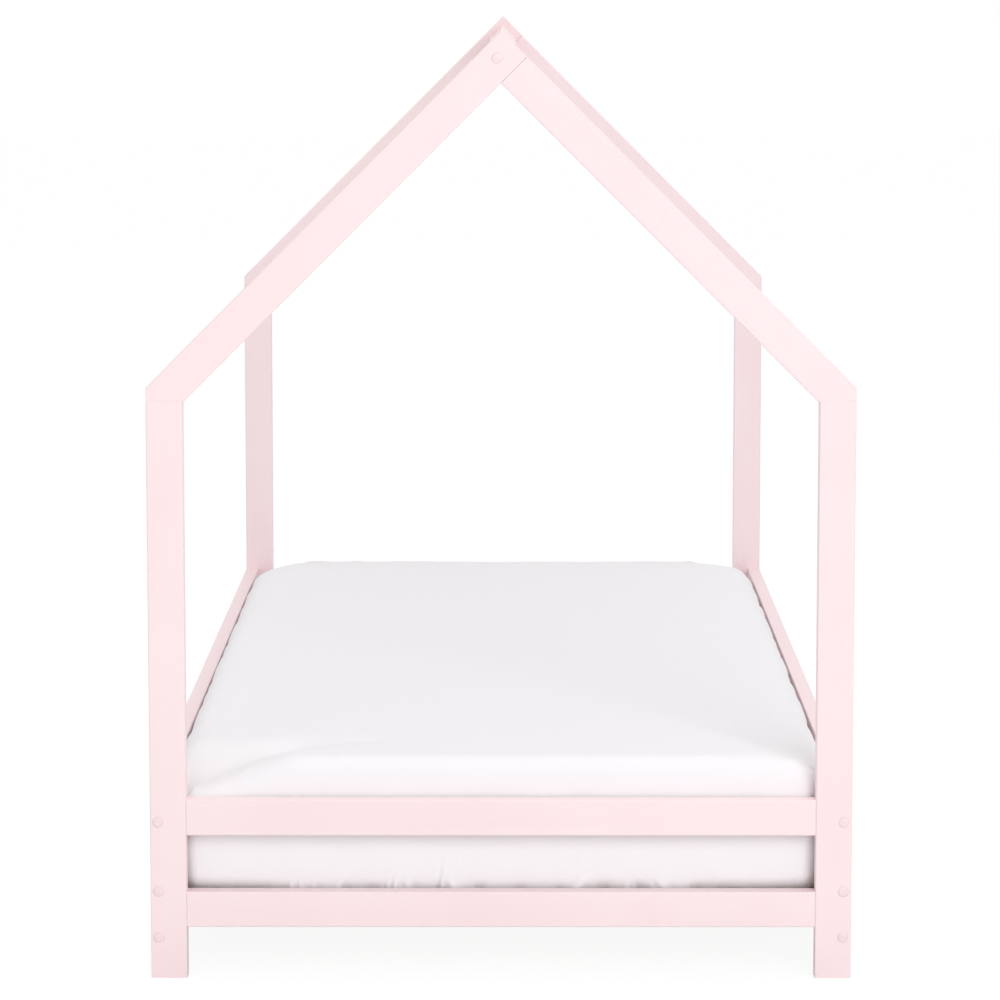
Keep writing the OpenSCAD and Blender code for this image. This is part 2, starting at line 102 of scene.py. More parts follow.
# Caps: the dome's height over the post, its diameter and its stem in the bolt hole, how far its face is
# domed, the width and drop of its round brow, and how far the rim is cut back under it
CAP_PROUD = 2.2 * MM
CAP_WIDTH = 14.5 * MM
CAP_STEM = 3 * MM
CAP_STEM_WIDTH = 10.8 * MM
CAP_DOME = 0.2 * MM
CAP_BROW = 2.4 * MM
CAP_BROW_DROP = 1.6 * MM
CAP_UNDERCUT = 0.6 * MM
CAP_FACE_RINGS = 6
CAP_BROW_RINGS = 5
CAP_SIDES = 40

# Screws: the head with its flat face and its rim, the shank and its tip, and the most that one is turned
HEAD_WIDTH = 8 * MM
HEAD_DEPTH = 2.6 * MM
HEAD_FLAT = 0.94
HEAD_RIM = 0.2 * MM
SHANK_WIDTH = 4 * MM
TIP_SHARE = 0.25
SCREW_TURN = 6.28

# Their cross recess: reach and width of its arms, an extra point along them, depth and taper
RECESS_REACH = 2.3 * MM
RECESS_WIDTH = 1.1 * MM
RECESS_MIDWAY = 0.6
RECESS_DEPTH = 1.3 * MM
RECESS_TAPER = 0.35

# Points of a CAD node that are closer than this are one
SAME_POINT = 0.005 * MM

# Mattress and sheet in plan: radius of the corners, how far inside the CAD's box their sides start, how
# far these lean out and dip in, and how far both lie to the left
CORNER = 30 * MM
SIDE_ROOM = 7.7 * MM
SIDE_LEAN = 5.2 * MM
SIDE_DIP = 3.0 * MM
SIDE_SHIFT = -0.8 * MM

# Their height: radii of the top and the bottom edge, the rings round each, the crown and the waist,
# and the share of the height at which the upper part begins
TOP_EDGE = 28 * MM
BASE_EDGE = 22 * MM
EDGE_RINGS = 7
CROWN = 6 * MM
WAIST = 3 * MM
UPPER_FROM = 0.25

# Powers that keep the crown off the sides, and the waist and the dips close to them
CROWN_POWER = 4
WAIST_POWER = 8
DIP_POWER = 12

# The sheet: its thickness, the width of its hem, the radius of the hem's inner corners and how many
# times finer than the step it is, and the band above it with a step of its own
SHEET_THICK = 1 * MM
HEM = 90 * MM
HEM_CORNER = 40 * MM
HEM_FINENESS = 1.5
HEM_BAND = 36 * MM
HEM_BAND_STEP = 4.5 * MM

# Corner seams: half width, rise, where they start and are full inside the edges, and their stitches
SEAM_HALF = 1.6 * MM
SEAM_RISE = 1.2 * MM
SEAM_START = (-27 * MM, -18 * MM)
STITCH_ROW = 4 * MM
STITCH_WIDTH = 1 * MM
STITCH_PITCH = 3 * MM
STITCH_DEPTH = 0.7

# Steps of the two meshes, and how many times finer than its top grid the sheet's sides are: front,
# right, rear and left
MATTRESS_STEP = 16 * MM
SHEET_STEP = 16 * MM
SHEET_SPLITS = (8, 2, 2, 2)

# Swells along the sides and the hem: the seed, the pitches, and how far they are lifted before what is
# below zero is cut off. They slant by up to this much, and the last value keeps the two sides unlike
SIDE_DIPS = (31, (0.11, 0.19, 0.37), 0.35)
HEM_SWELLS = (11, (0.021, 0.034, 0.055), 0.0)
SIDE_FOLDS = (23, (0.11, 0.17, 0.29), 0.15)
SWELL_SLANT = 0.6
SIDES_APART = 0.4

# Depth and reach of the hem's swells, and how much of them the front goes without
HEM_SWELL = 1.6 * MM
HEM_SWELL_REACH = 20 * MM
HEM_SWELL_LESS = 0.6

# Side folds: depth, the rise at which they are full, and how fast they change with the height
SIDE_FOLD = 1.5 * MM
SIDE_FOLD_FULL = 50 * MM
SIDE_FOLD_DRIFT = 0.6

# Pleats at the corners: depth, number in a full turn, where they end and over what height they fade
PLEAT_DEPTH = 2 * MM
PLEATS_ROUND = 14
PLEAT_TOP = 170 * MM
PLEAT_FADE = 120 * MM

# Soft borders, as a gain and a loss on a share: the front and the corners by the way the cloth faces,
# and the part beside the upper rails by its height
FRONT_BORDER = (1.4, 0.3)
CORNER_GAIN = 2
RAIL_BORDER = (2.5, 1)

# Pulling the sheet tight: the coarse cloth's step, how much slack it has round its sides, how much
# its elastic hem draws in, how far in from the edge the top is held, how far up the underside counts,
# the number of frames, and how many of its points move each point of the sheet
CLOTH_STEP = 20 * MM
CLOTH_SLACK = 0.05
ELASTIC_DRAW = 0.16
TOP_HELD = 70 * MM
UNDERSIDE = BASE_EDGE / 4
CLOTH_FRAMES = 24
CLOTH_NEAR = 5

# How far its folds may stand out, how much of them stays beside the rails and at the foot end, and how
# far past the CAD's box the sheet may reach
FOLD_LIMIT = 6 * MM
FOLD_BESIDE_RAIL = 0.1
FOLD_AT_FOOT = 0.05
SHEET_PROUD = (0.4 * MM, 2.0 * MM, 0)

# Soft corners: centre, how far in the sinking reaches across and along, and its depth
SINKS = [
    ((-0.47, -1.0), (0.205, 0.17), 49 * MM),
    ((0.47, -1.0), (0.07, 0.08), 9 * MM),
    ((-0.47, 1.0), (0.105, 0.30), 28 * MM),
    ((0.47, 1.0), (0.13, 0.28), 18 * MM),
]

# The head end, which slopes down: where it starts, where it would end, and its drop
HEAD_SLOPE = (0.82, 1.04, 24 * MM)

# How far the base edge at the foot end lifts off the slats: place across the bed and lift
HEM_LINE = [
    (-0.45, 11 * MM), (-0.43, 7 * MM), (-0.38, 6.5 * MM), (-0.33, 5.5 * MM), (-0.3, 3 * MM),
    (-0.285, 0), (-0.25, 1 * MM), (-0.235, 0), (-0.215, 4 * MM), (-0.17, 4 * MM),
    (-0.155, 1 * MM), (-0.13, 0), (-0.115, 3.5 * MM), (-0.085, 3 * MM), (-0.07, 0),
    (-0.055, 0), (-0.04, 4 * MM), (0.0, 2 * MM), (0.02, 3.5 * MM), (0.05, 2 * MM),
    (0.08, 3.5 * MM), (0.1, 0), (0.115, 3 * MM), (0.15, 7 * MM), (0.172, 4 * MM),
    (0.19, 7 * MM), (0.215, 2 * MM), (0.228, 0), (0.245, 0), (0.27, 6 * MM),
    (0.38, 6.5 * MM), (0.42, 9 * MM), (0.45, 12 * MM),
]

# How far up and back that lift reaches, and at how many reaches up it has ended
HEM_LIFT_REACH = 32 * MM
HEM_LIFT_END = 1.5

# Shallow hollows behind the front edge: start, end, half width and depth
HOLLOWS = [
    ((-0.46, -0.93), (-0.30, -0.89), 0.034, 15 * MM),
    ((-0.30, -0.89), (-0.18, -0.865), 0.03, 4 * MM),
    ((0.32, -0.72), (0.43, -0.965), 0.028, 8 * MM),
]

# Puckers over the front hem start this far up. A groove runs beside each one, at this place and width in
# half widths and at this share of its depth
PUCKER_FOOT = 8 * MM
GROOVE_PLACE = 1.5
GROOVE_WIDTH = 0.7
GROOVE_DEPTH = 0.5

# The puckers: place across the bed, half width, height, depth and lean to the right
PUCKERS = [
    (-0.293, 3.2 * MM, 9 * MM, 2.4 * MM, 0.2),
    (-0.279, 2.8 * MM, 8 * MM, 2.4 * MM, -0.1),
    (-0.262, 3.4 * MM, 9 * MM, 2.4 * MM, 0.2),
    (-0.228, 4.0 * MM, 12 * MM, 3.0 * MM, 0.5),
    (-0.158, 2.4 * MM, 10 * MM, 3.4 * MM, 0.1),
    (-0.148, 3.0 * MM, 15 * MM, 4.0 * MM, 0.15),
    (-0.129, 4.4 * MM, 13 * MM, 3.0 * MM, -0.1),
    (-0.083, 3.0 * MM, 28 * MM, 4.6 * MM, 0.12),
    (-0.066, 6.0 * MM, 14 * MM, 3.6 * MM, -0.3),
    (0.104, 6.0 * MM, 14 * MM, 3.6 * MM, 0.8),
    (0.174, 4.0 * MM, 9 * MM, 2.6 * MM, 0.3),
    (0.228, 6.0 * MM, 12 * MM, 3.0 * MM, -0.6),
]


class Wire:
    """One output of a node. Arithmetic on it adds Math nodes to the same recipe."""

    def __init__(self, recipe, socket):
        self.recipe = recipe
        self.socket = socket

    def also(self, output):
        return Wire(self.recipe, self.socket.node.outputs[output])

    def within(self, low, high):
        limits = {"Value": self, "From Min": low, "From Max": high}
        return self.recipe.add("ShaderNodeMapRange", {"interpolation_type": "SMOOTHSTEP"}, limits)

    def __add__(self, value):
        return self.recipe.math("ADD", self, value)

    def __radd__(self, value):
        return self.recipe.math("ADD", value, self)

    def __sub__(self, value):
        return self.recipe.math("SUBTRACT", self, value)

    def __rsub__(self, value):
        return self.recipe.math("SUBTRACT", value, self)

    def __mul__(self, value):
        return self.recipe.math("MULTIPLY", self, value)

    def __rmul__(self, value):
        return self.recipe.math("MULTIPLY", value, self)

    def __truediv__(self, value):
        return self.recipe.math("DIVIDE", self, value)

    def __pow__(self, value):
        return self.recipe.math("POWER", self, value)


class Recipe:
    """The nodes of one finish, of the room's light or of a pattern of repeats."""

    def __init__(self, tree):
        self.tree = tree

    def add(self, kind, settings=None, values=None, output=0):
        node = self.tree.nodes.new(kind)
        for name, value in (settings or {}).items():
            setattr(node, name, value)
        for name, value in (values or {}).items():
            if isinstance(value, Wire):
                self.tree.links.new(value.socket, node.inputs[name])
            else:
                node.inputs[name].default_value = value
        return Wire(self, node.outputs[output]) if len(node.outputs) else node

    def math(self, operation, *values):
        return self.add("ShaderNodeMath", {"operation": operation}, dict(enumerate(values)))

    def stretch(self, vector, x, y, z):
        return self.add("ShaderNodeVectorMath", {"operation": "MULTIPLY"}, {0: vector, 1: (x, y, z)})

    def turn(self, vector, x, y, z):
        angles = tuple(math.radians(a) for a in (x, y, z))
        return self.add("ShaderNodeMapping", {}, {"Vector": vector, "Rotation": angles})

    def noise(self, vector, scale, detail=2.0, roughness=0.5):
        values = {"Vector": vector, "Scale": scale, "Detail": detail, "Roughness": roughness}
        return self.add("ShaderNodeTexNoise", {}, values)

    def mix(self, factor, first, second):
        values = {0: factor, 6: first, 7: second}
        return self.add("ShaderNodeMix", {"data_type": "RGBA"}, values, output=2)

    def bump(self, height, distance, strength=1.0, under=None):
        values = {"Height": height, "Distance": distance, "Strength": strength}
        if under:
            values["Normal"] = under
        return self.add("ShaderNodeBump", {}, values)


def new_finish(name):
    """A material with an empty recipe, and the piece's own coordinates in metres."""
    material = bpy.data.materials.new(name)
    material.use_nodes = True
    material.node_tree.nodes.clear()
    recipe = Recipe(material.node_tree)
    return material, recipe, recipe.add("ShaderNodeTexCoord", output="Object")


def surface(recipe, values):
    """Feeds the values to a principled surface and closes the recipe."""
    shader = recipe.add("ShaderNodeBsdfPrincipled", {}, values)
    recipe.add("ShaderNodeOutputMaterial", {}, {"Surface": shader})


# Finishes


def painted_timber(name, along, lean=0.0, painted_shade=0.0):
    """Satin paint over sanded pine. lean turns the grain from its axis; painted shade deepens the pink."""
    material, recipe, place = new_finish(name)
    if lean:
        place = recipe.turn(place, 0, lean, 0)
    stretch = [1.0, 1.0, 1.0]
    stretch["XYZ".index(along)] = GRAIN_STRETCH
    fibres = recipe.noise(recipe.stretch(place, *stretch), scale=260, detail=3, roughness=0.6)
    streaks = recipe.noise(recipe.stretch(place, *stretch), scale=38, roughness=0.55)
    clouds = recipe.noise(place, scale=5.5, detail=3)
    stipple = recipe.noise(place, scale=900, detail=1)
    tone = streaks * 0.4 + clouds * 0.6
    colour = recipe.mix(tone.within(0.3, 0.7), PINK_DEEP, PINK_PALE)
    colour = recipe.mix(0.55, colour, PINK)
    # Fibres deepen the pink a little; what is added to their share is painted shade
    colour = recipe.mix(fibres.within(0.58, 0.8) * 0.16 + painted_shade, colour, PINK_DEEP)
    relief = recipe.bump(fibres * 0.7 + streaks * 0.3, distance=0.08 * MM, strength=0.35)
    relief = recipe.bump(stipple, distance=0.02 * MM, strength=0.1, under=relief)
    gloss = 0.4 + clouds * 0.08 + stipple * 0.05
    surface(recipe, {
        "Base Color": colour,
        "Roughness": gloss,
        "Normal": relief,
        "Specular IOR Level": 0.42,
    })
    return material


def bare_pine(name, pitch, first):
    """Planed pine for the slats, each slat cut from another board."""
    material, recipe, place = new_finish(name)
    cross = recipe.add("ShaderNodeSeparateXYZ", {}, {0: place}, output="Y")
    board = recipe.math("FLOOR", (cross - first) / pitch)
    draw = recipe.add("ShaderNodeTexWhiteNoise", {"noise_dimensions": "1D"}, {"W": board + 0.37})
    offset = recipe.add("ShaderNodeCombineXYZ", {}, {"X": draw * 40, "Z": draw * 7})
    cut = recipe.add("ShaderNodeVectorMath", {"operation": "ADD"}, {0: place, 1: offset})
    bands = {"Vector": recipe.stretch(cut, 0.06, 1, 1), "Scale": 38, "Distortion": 5.5, "Detail": 2.5}
    rings = recipe.add("ShaderNodeTexWave", {"bands_direction": "Y"}, bands, output="Fac")
    fibres = recipe.noise(recipe.stretch(cut, 0.03, 1, 1), scale=420, detail=3, roughness=0.6)
    cells = {"Vector": recipe.stretch(cut, 3.2, 14, 3), "Scale": 1.0}
    knots = recipe.add("ShaderNodeTexVoronoi", {}, cells, output="Distance")
    colour = recipe.mix((rings ** 2.2) * 0.75, PINE_EARLY, PINE_LATE)
    colour = recipe.mix(fibres.within(0.5, 0.8) * 0.3, colour, PINE_LATE)
    colour = recipe.mix((1 - knots.within(0.05, 0.16)) * 0.85, colour, PINE_KNOT)
    colour = recipe.mix(draw * 0.22, colour, PINE_LATE)
    relief = recipe.bump(fibres * 0.6 + rings * 0.4, distance=0.15 * MM, strength=0.7)
    surface(recipe, {"Base Color": colour, "Roughness": 0.6 + fibres * 0.15, "Normal": relief})
    return material


def turned_beech(name):
    """Fluted beech dowels, pale brown with short dark flecks."""
    material, recipe, place = new_finish(name)
    flecks = recipe.noise(recipe.stretch(place, 1, 1, 0.25), scale=800, roughness=0.6)
    colour = recipe.mix(flecks.within(0.5, 0.75), BEECH, BEECH_FLECK)
    surface(recipe, {
        "Base Color": colour,
        "Roughness": 0.55 + flecks * 0.15,
        "Normal": recipe.bump(flecks, distance=0.1 * MM, strength=0.6),
    })
    return material


def plated_steel(name, bright, dull):
    """Plated steel, a little cloudy, with fine turning marks."""
    material, recipe, place = new_finish(name)
    clouds = recipe.noise(place, scale=160, detail=3, roughness=0.6)
    marks = recipe.noise(place, scale=2200, detail=1)
    surface(recipe, {
        "Base Color": recipe.mix(clouds.within(0.35, 0.7), bright, dull),
        "Metallic": 1.0,
        "Roughness": 0.26 + clouds * 0.16 + marks * 0.06,
        "Normal": recipe.bump(marks, distance=0.02 * MM, strength=0.5),
    })
    return material


def cap_plastic(name):
    """Pink moulded plastic with a fine spark-eroded texture, its pinks deepened by painted shade."""
    material, recipe, place = new_finish(name)
    grain = recipe.noise(place, scale=3000, detail=1)
    clouds = recipe.noise(place, scale=120)
    surface(recipe, {
        "Base Color": recipe.mix(clouds.within(0.3, 0.7), CAP_PINK_DEEP_SHADED, CAP_PINK_SHADED),
        "Roughness": 0.3 + grain * 0.12,
        "Normal": recipe.bump(grain, distance=0.02 * MM, strength=0.5),
        "Specular IOR Level": 0.5,
    })
    return material


def weave_height(recipe, place, pitch):
    """Height of a plain weave, from three crossing sets of threads."""
    parts = recipe.add("ShaderNodeSeparateXYZ", {}, {0: place})
    height = None
    for axis in "XYZ":
        wave = recipe.math("SINE", parts.also(axis) * (2 * math.pi / pitch)) * 0.5
        height = wave if height is None else height + wave
    return height


def corner_seams(recipe, place, half_w, half_l):
    """Height of the upright seam at each corner of the sheet, with a row of stitches beside it."""
    parts = recipe.add("ShaderNodeSeparateXYZ", {}, {0: place})
    across = recipe.math("ABSOLUTE", parts) - half_w
    along = recipe.math("ABSOLUTE", parts.also("Y")) - half_l
    off = recipe.math("ABSOLUTE", across - along)
    ridge = 1 - off.within(0.0, SEAM_HALF)
    row = 1 - recipe.math("ABSOLUTE", off - STITCH_ROW).within(STITCH_WIDTH / 4, STITCH_WIDTH / 2)
    stitches = recipe.math("SINE", parts.also("Z") * (2 * math.pi / STITCH_PITCH)).within(-0.5, 0.2)
    in_corner = recipe.math("MINIMUM", across, along).within(*SEAM_START)
    return (ridge - row * stitches * STITCH_DEPTH) * in_corner


def cotton(name, half_w, half_l):
    """White woven cotton, soft, with a faint slub, shallow creases and corner seams."""
    material, recipe, place = new_finish(name)
    slub = recipe.noise(recipe.stretch(place, 1, 0.3, 1), scale=260, detail=3, roughness=0.6)
    creases = recipe.noise(place, scale=9, detail=3)
    fine_creases = recipe.noise(recipe.stretch(place, 1, 0.5, 0.7), scale=42)
    weave = weave_height(recipe, place, pitch=0.8 * MM)
    colour = recipe.mix(slub.within(0.45, 0.8) * 0.5, COTTON, COTTON_THREAD)
    seams = corner_seams(recipe, place, half_w, half_l)
    relief = recipe.bump(creases, distance=1.6 * MM, strength=0.5)
    relief = recipe.bump(fine_creases, distance=0.35 * MM, strength=0.5, under=relief)
    relief = recipe.bump(weave + slub, distance=0.03 * MM, strength=0.45, under=relief)
    relief = recipe.bump(seams, distance=SEAM_RISE, under=relief)
    surface(recipe, {
        "Base Color": colour,
        "Roughness": 0.82 + slub * 0.1,
        "Normal": relief,
        "Sheen Weight": 0.18,
        "Sheen Roughness": 0.5,
        "Specular IOR Level": 0.25,
    })
    return material


def ticking(name):
    """Close-woven mattress cloth with narrow stripes along the bed."""
    material, recipe, place = new_finish(name)
    across = recipe.add("ShaderNodeSeparateXYZ", {}, {0: place}, output="X")
    wave = recipe.math("SINE", across * (2 * math.pi / STRIPE_PITCH))
    broad = wave.within(0.80, 0.9)
    narrow = (1 - wave).within(1.80, 1.9)
    slub = recipe.noise(recipe.stretch(place, 1, 0.2, 1), scale=320, roughness=0.6)
    colour = recipe.mix((broad + narrow * 0.6) * 0.8, TICKING, TICKING_STRIPE)
    colour = recipe.mix(slub.within(0.5, 0.8) * 0.25, colour, TICKING)
    weave = weave_height(recipe, place, pitch=1.0 * MM)
    surface(recipe, {
        "Base Color": colour,
        "Roughness": 0.8 + slub * 0.1,
        "Normal": recipe.bump(weave + slub * 1.5, distance=0.06 * MM, strength=0.6),
        "Sheen Weight": 0.1,
    })
    return material


# Light, floor and camera


def seen_rays(recipe):
    """1 for what the camera sees, straight on, in a gloss or through glass, and 0 for soft light."""
    path = recipe.add("ShaderNodeLightPath", output="Is Camera Ray")
    seen = path + path.also("Is Glossy Ray") + path.also("Is Transmission Ray")
    return recipe.math("MINIMUM", seen, 1.0)


def light_room():
    world = bpy.data.worlds.new("room")
    world.use_nodes = True
    world.node_tree.nodes.clear()
    recipe = Recipe(world.node_tree)
    strength = ROOM_LIGHT + (1 - ROOM_LIGHT) * seen_rays(recipe)
    light = recipe.add("ShaderNodeBackground", {}, {"Color": (1, 1, 1, 1), "Strength": strength})
    recipe.add("ShaderNodeOutputWorld", {}, {"Surface": light})
    bpy.context.scene.world = world
    for name, (place, aim, width, power) in LAMPS.items():
        lamp = bpy.data.lights.new(name, "AREA")
        lamp.shape = "DISK"
        lamp.size = width
        lamp.energy = power
        holder = bpy.data.objects.new(name, lamp)
        holder.location = place
        holder.rotation_euler = (Vector(aim) - Vector(place)).to_track_quat("-Z", "Y").to_euler()
        bpy.context.collection.objects.link(holder)


def lay_floor():
    """A pale floor. The camera sees it white, with the bed's shadow faint on it."""
    material, recipe, _ = new_finish("pale_floor")
    bare = recipe.add("ShaderNodeBsdfDiffuse", {}, {"Color": FLOOR_WHITE})
    shaded = recipe.add("ShaderNodeBsdfDiffuse", {}, {"Color": FLOOR_SHADED})
    glow = recipe.add("ShaderNodeEmission", {}, {"Color": (1, 1, 1, 1), "Strength": FLOOR_GLOW})
    shown = recipe.add("ShaderNodeAddShader", {}, {0: shaded, 1: glow})
    floor = recipe.add("ShaderNodeMixShader", {}, {0: seen_rays(recipe), 1: bare, 2: shown})
    recipe.add("ShaderNodeOutputMaterial", {}, {"Surface": floor})
    half = FLOOR_SIZE / 2
    corners = [(-half, -half), (half, -half), (half, half), (-half, half)]
    mesh = bpy.data.meshes.new("floor")
    mesh.from_pydata([(x, y, -FLOOR_DROP) for x, y in corners], [], [(0, 1, 2, 3)])
    mesh.materials.append(material)
    piece = bpy.data.objects.new("floor", mesh)
    bpy.context.collection.objects.link(piece)


def set_camera():
    camera = bpy.data.cameras.new("camera")
    camera.lens = CAMERA_LENS
    camera.sensor_width = 36
    camera.shift_y = CAMERA_SHIFT
    camera.clip_end = 200
    holder = bpy.data.objects.new("camera", camera)
    holder.location = CAMERA_PLACE
    holder.rotation_euler = (math.radians(90 - CAMERA_DOWN), 0, math.radians(CAMERA_LEFT))
    bpy.context.collection.objects.link(holder)
    bpy.context.scene.camera = holder
    bpy.context.scene.view_settings.view_transform = "Standard"


# Making meshes


def new_piece(name, vertices, faces, material, smooth=True):
    """A mesh object at the origin, with its place in its mesh."""
    mesh = bpy.data.meshes.new(name)
    mesh.from_pydata([tuple(v) for v in vertices], [], faces)
    mesh.materials.append(material)
    mesh.polygons.foreach_set("use_smooth", [smooth] * len(mesh.polygons))
    mesh.update()
    piece = bpy.data.objects.new(name, mesh)
    bpy.context.collection.objects.link(piece)
    return piece


def apply_modifiers(piece):
    """Turns the piece and its modifiers into one plain mesh."""
    bpy.context.view_layer.update()
    seen = piece.evaluated_get(bpy.context.evaluated_depsgraph_get())
    mesh = bpy.data.meshes.new_from_object(seen)
    piece.modifiers.clear()
    old = piece.data
    piece.data = mesh
    mesh.name = piece.name
    bpy.data.meshes.remove(old)


def turned_faces(profile, sides):
    """Vertices and faces of a turned shape. The profile is (radius, height) pairs from pole to pole."""
    vertices = []
    rings = []
    for radius, height in profile:
        count = 1 if radius == 0 else sides
        rings.append([len(vertices) + i for i in range(count)])
        for i in range(count):
            angle = 2 * math.pi * i / sides
            vertices.append((radius * math.cos(angle), radius * math.sin(angle), height))
    faces = []
    for upper, lower in zip(rings, rings[1:]):
        for i in range(sides):
            j = (i + 1) % sides
            if len(upper) == 1:
                faces.append((upper[0], lower[i], lower[j]))
            elif len(lower) == 1:
                faces.append((upper[j], upper[i], lower[0]))
            else:
                faces.append((upper[i], lower[i], lower[j], upper[j]))
    return vertices, faces


def cap_shape(material):
    """A domed cover cap, its rim at the origin and its stem below."""
    radius = CAP_WIDTH / 2
    brow = radius - CAP_BROW
    profile = []
    for i in range(CAP_FACE_RINGS + 1):
        share = i / CAP_FACE_RINGS
        profile.append((brow * share, CAP_PROUD - CAP_DOME * share ** 2))
    for i in range(1, CAP_BROW_RINGS + 1):
        angle = math.pi / 2 * i / CAP_BROW_RINGS
        height = CAP_PROUD - CAP_DOME - CAP_BROW_DROP * (1 - math.cos(angle))
        profile.append((brow + CAP_BROW * math.sin(angle), height))
    profile += [
        (radius - CAP_UNDERCUT, 0.0),
        (CAP_STEM_WIDTH / 2, 0.0),
        (CAP_STEM_WIDTH / 2, -CAP_STEM),
        (0, -CAP_STEM),
    ]
    vertices, faces = turned_faces(profile, CAP_SIDES)
    return new_piece("cap_shape", vertices, faces, material)


def screw_shape(name, length, material):
    """A countersunk wood screw with a cross recess, its head's face at the origin."""
    reach = RECESS_REACH
    midway = reach * RECESS_MIDWAY
    half = RECESS_WIDTH / 2
    arm = [(half, half), (midway, half), (reach, half), (reach, 0), (reach, -half), (midway, -half)]
    cross = []
    for quarter in range(4):
        turn = math.radians(90 * quarter)
        cos, sin = math.cos(turn), math.sin(turn)
        cross += [(round(x * cos + y * sin, 7), round(y * cos - x * sin, 7)) for x, y in arm]
    cross = sorted(set(cross), key=lambda point: math.atan2(point[1], point[0]))
    sides = len(cross)
    angles = [math.atan2(y, x) for x, y in cross]
    rim = HEAD_WIDTH / 2
    shank = SHANK_WIDTH / 2
    turned = [
        (rim * HEAD_FLAT, 0.0),
        (rim, HEAD_RIM),
        (shank, HEAD_DEPTH),
        (shank, length - shank),
        (shank * TIP_SHARE, length),
    ]
    rings = [
        [(x * RECESS_TAPER, y * RECESS_TAPER, -RECESS_DEPTH) for x, y in cross],
        [(x, y, 0.0) for x, y in cross],
    ]
    rings += [[(r * math.cos(a), r * math.sin(a), -depth) for a in angles] for r, depth in turned]
    vertices = [v for ring in rings for v in ring]
    faces = [tuple(range(sides))]
    for k in range(len(rings) - 1):
        for i in range(sides):
            j = (i + 1) % sides
            a, b = k * sides, (k + 1) * sides
            faces.append((a + i, b + i, b + j, a + j))
    last = (len(rings) - 1) * sides
    faces.append(tuple(last + i for i in reversed(range(sides))))
    return new_piece(name, vertices, faces, material, smooth=False)


def solid_boxes(node):
    """The lowest and highest corners of each separate solid in a CAD node."""
    work = bmesh.new()
    work.from_mesh(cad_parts[node].data)
    bmesh.ops.remove_doubles(work, verts=work.verts, dist=SAME_POINT)
    boxes = []
    left = set(work.verts)
    while left:
        reached = {left.pop()}
        edge = list(reached)
        while edge:
            near = {e.other_vert(v) for v in edge for e in v.link_edges} - reached
            reached |= near
            edge = list(near)
        left -= reached
        places = np.array([v.co[:] for v in reached])
        boxes.append((places.min(axis=0), places.max(axis=0)))
    work.free()
    return sorted(boxes, key=lambda box: tuple(np.round(box[0], decimals=4)))


def fastener_tree():
    """Geometry nodes that set a fastener on each point, facing the way its arrow points."""
    tree = bpy.data.node_groups.new("set_fasteners", "GeometryNodeTree")
    inputs = {
        "Geometry": "NodeSocketGeometry",
        "Fastener": "NodeSocketObject",
        "Finish": "NodeSocketMaterial",
        "Turn": "NodeSocketFloat",
        "Seed": "NodeSocketInt",
    }
    for socket, kind in inputs.items():
        tree.interface.new_socket(socket, in_out="INPUT", socket_type=kind)
    tree.interface.new_socket("Geometry", in_out="OUTPUT", socket_type="NodeSocketGeometry")
    recipe = Recipe(tree)
    given = recipe.add("NodeGroupInput", output="Geometry")
    shape = recipe.add("GeometryNodeObjectInfo", {}, {"Object": given.also("Fastener")}, output="Geometry")
    vector = {"data_type": "FLOAT_VECTOR"}
    arrow = recipe.add("GeometryNodeInputNamedAttribute", vector, {"Name": "facing"})
    upright = recipe.add("FunctionNodeAlignRotationToVector", {"axis": "Z"}, {"Vector": arrow})
    seed = {"Seed": given.also("Seed")}
    draw = recipe.add("FunctionNodeRandomValue", {"data_type": "FLOAT"}, seed, output=1)
    spin = recipe.add("FunctionNodeAxisAngleToRotation", {}, {"Angle": draw * given.also("Turn")})
    turns = {"Rotation": upright, "Rotate By": spin}
    turned = recipe.add("FunctionNodeRotateRotation", {"rotation_space": "LOCAL"}, turns)
    copies = {"Points": given, "Instance": shape, "Rotation": turned}
    set_out = recipe.add("GeometryNodeInstanceOnPoints", {}, copies)
    real = recipe.add("GeometryNodeRealizeInstances", {}, {"Geometry": set_out})
    painted = {"Geometry": real, "Material": given.also("Finish")}
    finished = recipe.add("GeometryNodeSetMaterial", {}, painted)
    recipe.add("NodeGroupOutput", {}, {"Geometry": finished})
    return tree


def set_fasteners(name, tree, shape, turn, places, seed):
    """One mesh of fasteners at the places, which are (point, facing) pairs, with the shape's finish."""
    mesh = bpy.data.meshes.new(name)
    mesh.from_pydata([tuple(point) for point, facing in places], [], [])
    arrows = mesh.attributes.new("facing", "FLOAT_VECTOR", "POINT")
    arrows.data.foreach_set("vector", [part for point, facing in places for part in facing])
    piece = bpy.data.objects.new(name, mesh)
    bpy.context.collection.objects.link(piece)
    modifier = piece.modifiers.new("fasteners", "NODES")
    modifier.node_group = tree
    sockets = {item.name: item.identifier for item in tree.interface.items_tree if item.in_out == "INPUT"}
    modifier[sockets["Fastener"]] = shape
    modifier[sockets["Finish"]] = shape.data.materials[0]
    modifier[sockets["Turn"]] = turn
    modifier[sockets["Seed"]] = seed
    apply_modifiers(piece)
    return piece


# Mattress and sheet


def plan_place(x, y, half_w, half_l, corner):
    """Points of a square-cornered plan drawn in to round corners, and the way out of the edge there."""
    over_x = np.clip((np.abs(x) - half_w + corner) / corner, 0, None)
    over_y = np.clip((np.abs(y) - half_l + corner) / corner, 0, None)
    reach = np.maximum(over_x, over_y)
    lesser = np.minimum(over_x, over_y)
    turn = math.pi / 4 * lesser / np.maximum(reach, 1e-9)
    turn = np.where(over_x >= over_y, turn, math.pi / 2 - turn)
    round_x = half_w - corner + corner * reach * np.cos(turn)
    round_y = half_l - corner + corner * reach * np.sin(turn)
    in_corner = lesser > 0
    place_x = np.where(in_corner, round_x, np.abs(x)) * np.sign(x)
    place_y = np.where(in_corner, round_y, np.abs(y)) * np.sign(y)
    return place_x, place_y, np.cos(turn) * np.sign(x), np.sin(turn) * np.sign(y)


